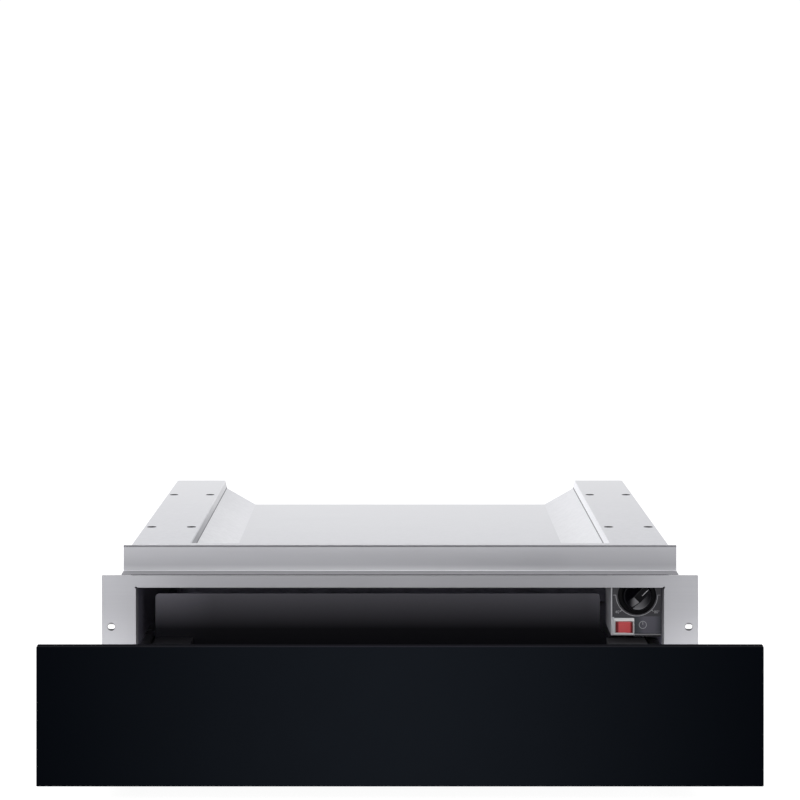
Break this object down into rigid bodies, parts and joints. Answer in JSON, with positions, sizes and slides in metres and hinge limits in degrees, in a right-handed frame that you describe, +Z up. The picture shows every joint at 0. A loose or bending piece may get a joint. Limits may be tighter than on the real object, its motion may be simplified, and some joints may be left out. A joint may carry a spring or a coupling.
{
  "type": "built-in warming drawer",
  "caption": "Low built-in warming drawer: black glass front on telescopic slides, steel casing with hat-shaped top rails, thermostat knob and rocker switch.",
  "frame": {"origin": "underside of the base plate, in the middle of the width, in the plane where the front flange's rear face meets the cabinet's front edge", "axes": "+X to the right seen from the front, +Y into the cabinet, +Z up; the drawer opens towards -Y"},
  "size_m": [0.595, 0.9629, 0.14],
  "materials": {
    "galvanised": "bright zinc-coated sheet, satin",
    "stainless": "fine satin stainless steel",
    "liner_enamel": "dark semi-matt enamel",
    "drawer_paint": "anthracite semi-matt paint",
    "black_glass": "gloss black back-printed glass",
    "black_steel": "black powder coat",
    "black_plastic": "moulded, semi-gloss",
    "fascia_plastic": "fine satin",
    "box_paint": "grey satin paint",
    "pale_plastic": "light grey moulding",
    "red_lens": "translucent red",
    "rubber": "matt",
    "felt": "needled mineral felt",
    "bright_steel": "bright zinc plate",
    "copper": "drawn copper tube",
    "heater_sheath": "heat-tinted sheath",
    "phenolic": "dark moulded phenolic",
    "loom_sleeve": "woven sleeve"
  },
  "bodies": {
    "casing": {"base_plate": "galvanised", "side_panel_left": "galvanised", "side_panel_right": "galvanised", "rear_panel": "galvanised", "top_cover": "galvanised", "front_frame": "stainless", "ledge_strip": "stainless", "liner_left": "liner_enamel", "liner_right": "liner_enamel", "liner_ceiling": "liner_enamel", "rear_baffle": "liner_enamel", "insulation_mat": "felt", "slide_outer_left": "bright_steel", "slide_outer_right": "bright_steel", "control_box": "box_paint", "control_fascia": "fascia_plastic", "thermostat_body": "phenolic", "rocker_housing": "pale_plastic", "thermostat_capillary": "copper", "thermostat_bulb": "copper", "bulb_clip": "bright_steel", "fan_housing": "galvanised", "fan_motor": "black_steel", "heater_element": "heater_sheath", "heater_bracket_left": "galvanised", "heater_bracket_right": "galvanised", "thermal_cutout": "phenolic", "latch_housing": "pale_plastic", "terminal_block": "pale_plastic", "cable_inlet": "black_plastic", "wiring_loom": "loom_sleeve", "loom_clip_front": "pale_plastic", "loom_clip_rear": "pale_plastic"},
    "drawer": {"slide_inner_left": "bright_steel", "slide_inner_right": "bright_steel", "drawer_tray": "drawer_paint", "drawer_rear_wall": "drawer_paint", "drawer_front_wall": "drawer_paint", "gusset_left": "drawer_paint", "gusset_right": "drawer_paint", "drawer_mat": "rubber", "panel_backing": "black_steel", "panel_glass": "black_glass", "latch_strike": "bright_steel", "buffer_lower_left": "rubber", "buffer_upper_left": "rubber", "buffer_lower_right": "rubber", "buffer_upper_right": "rubber"},
    "slide_left": {"slide_middle_left": "bright_steel"},
    "slide_right": {"slide_middle_right": "bright_steel"},
    "cage_outer_left": {"ball_cage_outer_left": "bright_steel"},
    "cage_outer_right": {"ball_cage_outer_right": "bright_steel"},
    "cage_inner_left": {"ball_cage_inner_left": "bright_steel"},
    "cage_inner_right": {"ball_cage_inner_right": "bright_steel"},
    "knob": {"control_knob": "black_plastic", "knob_spindle": "bright_steel"},
    "rocker": {"rocker_button": "red_lens"},
    "fan": {"fan_rotor": "bright_steel", "fan_shaft": "bright_steel"},
    "plunger": {"latch_plunger": "pale_plastic"}
  },
  "joints": [
    {"name": "drawer_slide", "type": "slide", "parent": "casing", "child": "drawer", "axis": [0, -1, 0], "range_m": [-0.415, 0]},
    {"name": "slide_left_run", "type": "slide", "parent": "casing", "child": "slide_left", "axis": [0, -1, 0], "range_m": [-0.2075, 0]},
    {"name": "cage_outer_left_run", "type": "slide", "parent": "casing", "child": "cage_outer_left", "axis": [0, -1, 0], "range_m": [-0.10375, 0]},
    {"name": "cage_inner_left_run", "type": "slide", "parent": "casing", "child": "cage_inner_left", "axis": [0, -1, 0], "range_m": [-0.31125, 0]},
    {"name": "slide_right_run", "type": "slide", "parent": "casing", "child": "slide_right", "axis": [0, -1, 0], "range_m": [-0.2075, 0]},
    {"name": "cage_outer_right_run", "type": "slide", "parent": "casing", "child": "cage_outer_right", "axis": [0, -1, 0], "range_m": [-0.10375, 0]},
    {"name": "cage_inner_right_run", "type": "slide", "parent": "casing", "child": "cage_inner_right", "axis": [0, -1, 0], "range_m": [-0.31125, 0]},
    {"name": "knob_turn", "type": "hinge", "parent": "casing", "child": "knob", "pos_m": [0.2372, 0.0205, 0.0895], "axis": [0, 1, 0], "range_deg": [0, 270]},
    {"name": "rocker_press", "type": "hinge", "parent": "casing", "child": "rocker", "pos_m": [0.2245, 0.0217, 0.0579], "axis": [0, 0, 1], "range_deg": [0, 12]},
    {"name": "fan_spin", "type": "hinge", "parent": "casing", "child": "fan", "pos_m": [0, 0.504, 0.032], "axis": [1, 0, 0], "continuous": true},
    {"name": "latch_push", "type": "slide", "parent": "casing", "child": "plunger", "axis": [0, 1, 0], "range_m": [0, 0.0035], "stiffness_N_per_m": 400}
  ],
  "couplings": [
    {"joint": "slide_left_run", "follows": "drawer_slide", "ratio": 0.5},
    {"joint": "cage_outer_left_run", "follows": "drawer_slide", "ratio": 0.25},
    {"joint": "cage_inner_left_run", "follows": "drawer_slide", "ratio": 0.75},
    {"joint": "slide_right_run", "follows": "drawer_slide", "ratio": 0.5},
    {"joint": "cage_outer_right_run", "follows": "drawer_slide", "ratio": 0.25},
    {"joint": "cage_inner_right_run", "follows": "drawer_slide", "ratio": 0.75}
  ]
}
